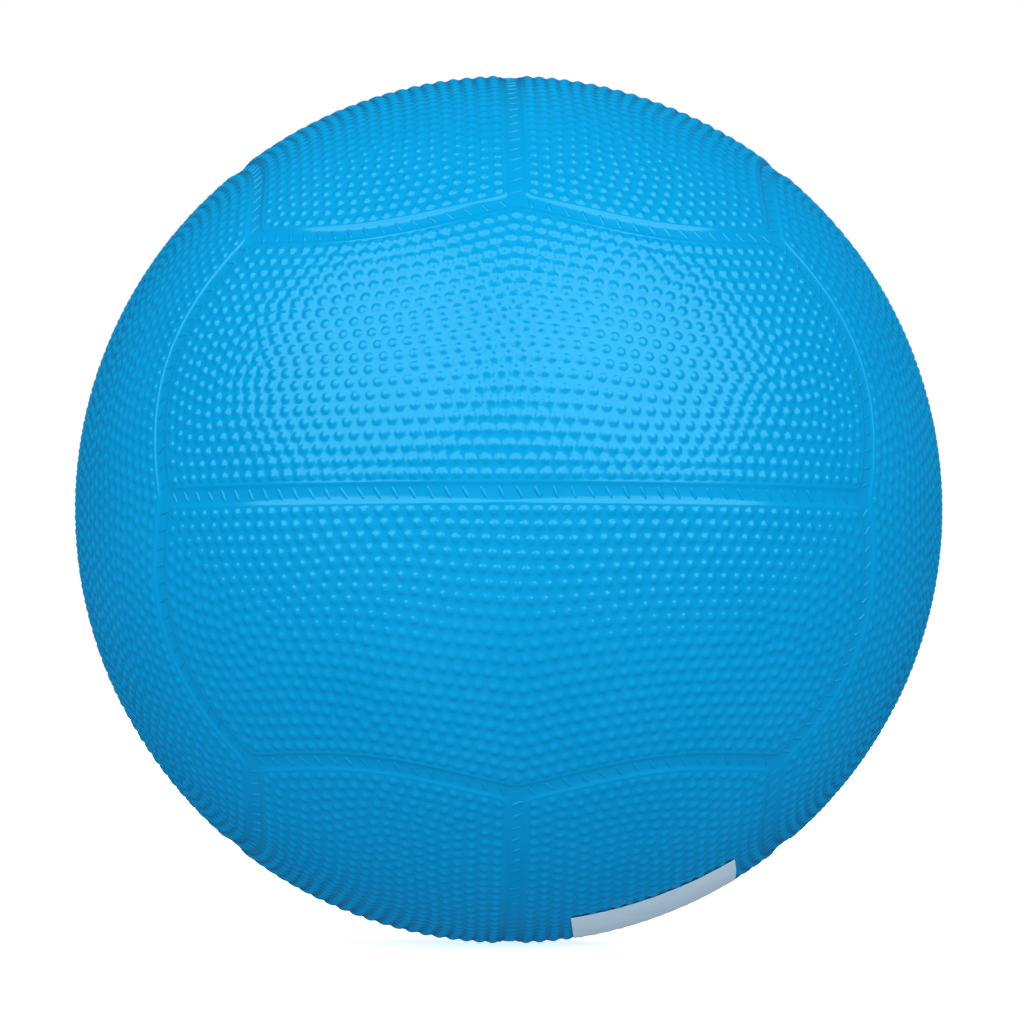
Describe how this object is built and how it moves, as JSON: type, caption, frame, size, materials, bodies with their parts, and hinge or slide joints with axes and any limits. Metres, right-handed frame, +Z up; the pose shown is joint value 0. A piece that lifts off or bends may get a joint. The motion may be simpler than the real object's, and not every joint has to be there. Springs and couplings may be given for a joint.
{
  "type": "playground ball",
  "caption": "Hollow moulded rubber playground ball with pebbled five-sided panels, sunken channels, a flush needle valve and a blank label.",
  "frame": {"origin": "centre of the ball", "axes": "+Z up; -Y to the front, where one channel runs left to right across the ball; +X to the right seen from the front"},
  "size_m": [0.21, 0.21, 0.21],
  "materials": {
    "cover_rubber": "satin",
    "carcass_rubber": "satin",
    "winding_thread": "matte",
    "bladder_rubber": "satin",
    "housing_rubber": "satin",
    "core_rubber": "satin",
    "label_paper": "satin"
  },
  "bodies": {
    "root": {"cover_panel_01": "cover_rubber", "cover_panel_02": "cover_rubber", "cover_panel_03": "cover_rubber", "cover_panel_04": "cover_rubber", "cover_panel_05": "cover_rubber", "cover_panel_06": "cover_rubber", "cover_panel_07": "cover_rubber", "cover_panel_08": "cover_rubber", "cover_panel_09": "cover_rubber", "cover_panel_10": "cover_rubber", "cover_panel_11": "cover_rubber", "cover_panel_12": "cover_rubber", "carcass": "carcass_rubber", "thread_winding": "winding_thread", "bladder": "bladder_rubber", "valve_housing": "housing_rubber", "valve_core": "core_rubber", "blank_label": "label_paper"}
  },
  "joints": []
}
